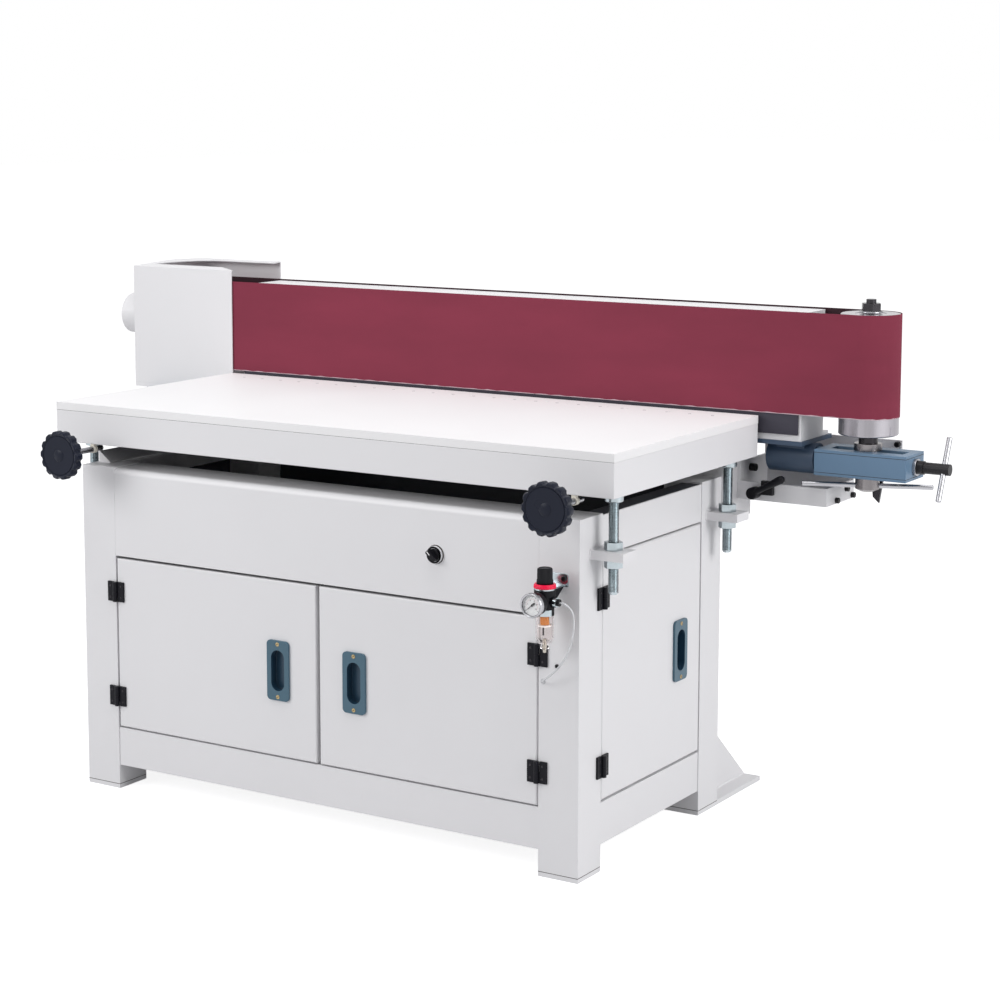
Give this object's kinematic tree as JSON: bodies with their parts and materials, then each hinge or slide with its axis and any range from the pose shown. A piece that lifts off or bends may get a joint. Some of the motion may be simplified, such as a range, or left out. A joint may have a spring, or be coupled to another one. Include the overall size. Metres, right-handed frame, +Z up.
{
  "type": "edge sander",
  "caption": "Floor-standing edge sander: upright abrasive belt on two drums behind a lifting table, on a cabinet with doors, belt tensioner, dust pipe and air unit",
  "frame": {"origin": "middle of the whole object in plan, on the floor", "axes": "+X to the right along the table front, +Y to the back, +Z up"},
  "size_m": [2.06, 0.9, 1.063],
  "materials": {
    "white_paint": "satin powder coat",
    "table_white": "smooth bright white",
    "boss_cream": "satin cream",
    "hinge_black": "satin black",
    "pull_blue": "smooth",
    "zinc": "zinc plated",
    "knob_plastic": "fine matt",
    "bright_steel": "polished",
    "black_plastic": "fine matt",
    "red_plastic": "smooth",
    "dial_white": "flat",
    "needle_black": "flat",
    "bowl_clear": "clear moulding",
    "filter_bronze": "porous",
    "drain_brass": "turned",
    "hose_clear": "smooth",
    "electric_grey": "fine matt",
    "bolt_black": "black oxide",
    "platen_grey": "graphite",
    "abrasive": "gritted cloth",
    "turned_steel": "turned",
    "motor_grey": "painted casting",
    "dark_steel": "blackened",
    "arm_blue": "satin dark blue",
    "box_blue": "satin blue"
  },
  "bodies": {
    "frame": {"legs": "white_paint", "rails": "white_paint", "panels": "white_paint", "lift_brackets": "white_paint", "carrier": "white_paint", "end_bracket": "white_paint", "platen_channel": "white_paint", "guard": "white_paint", "hinge_frame_leaves": "hinge_black", "lift_nuts": "zinc", "air_bracket": "zinc", "air_fittings": "zinc", "selector_bezel": "bright_steel", "gauge_case": "bright_steel", "box_fittings": "bright_steel", "air_body": "black_plastic", "air_ring": "red_plastic", "gauge_dial": "dial_white", "air_bowl": "bowl_clear", "air_filter": "filter_bronze", "air_hose": "hose_clear", "electrics": "electric_grey", "black_bolts": "bolt_black", "platen": "platen_grey", "sanding_belt": "abrasive", "motor": "motor_grey", "arm": "arm_blue", "tension_box": "box_blue"},
    "table": {"table_top": "table_white", "table_skirt": "white_paint", "lift_screws": "zinc", "knob_bosses": "boss_cream"},
    "knob_left": {"knob_left": "knob_plastic", "shaft_left": "bright_steel"},
    "knob_right": {"knob_right": "knob_plastic", "shaft_right": "bright_steel"},
    "door_left": {"door_left": "white_paint", "pull_left": "pull_blue", "hinge_leaves_left": "hinge_black"},
    "door_right": {"door_right": "white_paint", "pull_right": "pull_blue", "hinge_leaves_right": "hinge_black"},
    "door_side": {"door_side": "white_paint", "pull_side": "pull_blue", "hinge_leaves_side": "hinge_black"},
    "selector": {"selector_handle": "black_plastic"},
    "regulator": {"air_knob": "black_plastic"},
    "needle": {"gauge_needle": "needle_black"},
    "drain": {"air_drain": "drain_brass"},
    "clamp": {"clamp_lever": "black_plastic"},
    "drive": {"drive_drum": "turned_steel"},
    "slide": {"slide_block": "turned_steel", "idler_shaft": "dark_steel", "idler_nut": "dark_steel"},
    "idler": {"idler_drum": "turned_steel", "idler_bearings": "turned_steel"},
    "lock": {"lock_boss": "turned_steel", "lock_handle": "bright_steel"},
    "screw": {"tension_screw": "bolt_black"},
    "tee": {"tee_bar": "bright_steel"}
  },
  "joints": [
    {"name": "table_lift", "type": "slide", "parent": "frame", "child": "table", "axis": [0, 0, 1], "range_m": [-0.015, 0.04]},
    {"name": "knob_left_turn", "type": "hinge", "parent": "table", "child": "knob_left", "pos_m": [-0.593, -0.439, 0.722], "axis": [0, 1, 0], "range_deg": [-180, 180]},
    {"name": "knob_right_turn", "type": "hinge", "parent": "table", "child": "knob_right", "pos_m": [0.566, -0.439, 0.722], "axis": [0, 1, 0], "range_deg": [-180, 180]},
    {"name": "door_left_swing", "type": "hinge", "parent": "frame", "child": "door_left", "pos_m": [-0.5325, -0.3505, 0.316], "axis": [0, 0, -1], "range_deg": [0, 95]},
    {"name": "door_right_swing", "type": "hinge", "parent": "frame", "child": "door_right", "pos_m": [0.4925, -0.3505, 0.316], "axis": [0, 0, 1], "range_deg": [0, 95]},
    {"name": "door_side_swing", "type": "hinge", "parent": "frame", "child": "door_side", "pos_m": [0.5855, -0.2575, 0.371], "axis": [0, 0, -1], "range_deg": [0, 95]},
    {"name": "selector_turn", "type": "hinge", "parent": "frame", "child": "selector", "pos_m": [0.266, -0.355, 0.591], "axis": [0, 1, 0], "range_deg": [0, 90]},
    {"name": "regulator_turn", "type": "hinge", "parent": "frame", "child": "regulator", "pos_m": [0.533, -0.39, 0.59], "axis": [0, 0, 1], "range_deg": [-180, 180]},
    {"name": "needle_swing", "type": "hinge", "parent": "frame", "child": "needle", "pos_m": [0.533, -0.435, 0.541], "axis": [0, 1, 0], "range_deg": [0, 260]},
    {"name": "drain_push", "type": "slide", "parent": "frame", "child": "drain", "axis": [0, 0, 1], "range_m": [0, 0.003], "stiffness_N_per_m": 300},
    {"name": "clamp_turn", "type": "hinge", "parent": "frame", "child": "clamp", "pos_m": [0.63, 0.275, 0.652], "axis": [0, 1, 0], "range_deg": [-60, 60]},
    {"name": "drive_spin", "type": "hinge", "parent": "frame", "child": "drive", "pos_m": [-0.85, 0.324, 0.9], "axis": [0, 0, 1], "continuous": true},
    {"name": "belt_tension", "type": "slide", "parent": "frame", "child": "slide", "axis": [1, 0, 0], "range_m": [-0.02, 0]},
    {"name": "idler_spin", "type": "hinge", "parent": "slide", "child": "idler", "pos_m": [0.858, 0.324, 0.9], "axis": [0, 0, 1], "continuous": true},
    {"name": "lock_turn", "type": "hinge", "parent": "slide", "child": "lock", "pos_m": [0.858, 0.324, 0.6825], "axis": [0, 0, 1], "range_deg": [-20, 20]},
    {"name": "screw_turn", "type": "hinge", "parent": "frame", "child": "screw", "pos_m": [1, 0.324, 0.728], "axis": [1, 0, 0], "range_deg": [-2880, 0]},
    {"name": "tee_slide", "type": "slide", "parent": "screw", "child": "tee", "axis": [0, 0.4067, 0.9135], "range_m": [-0.04, 0.04]}
  ],
  "couplings": [
    {"joint": "idler_spin", "follows": "drive_spin", "ratio": 1},
    {"joint": "screw_turn", "follows": "belt_tension", "rad_per_m": 2513.3}
  ]
}
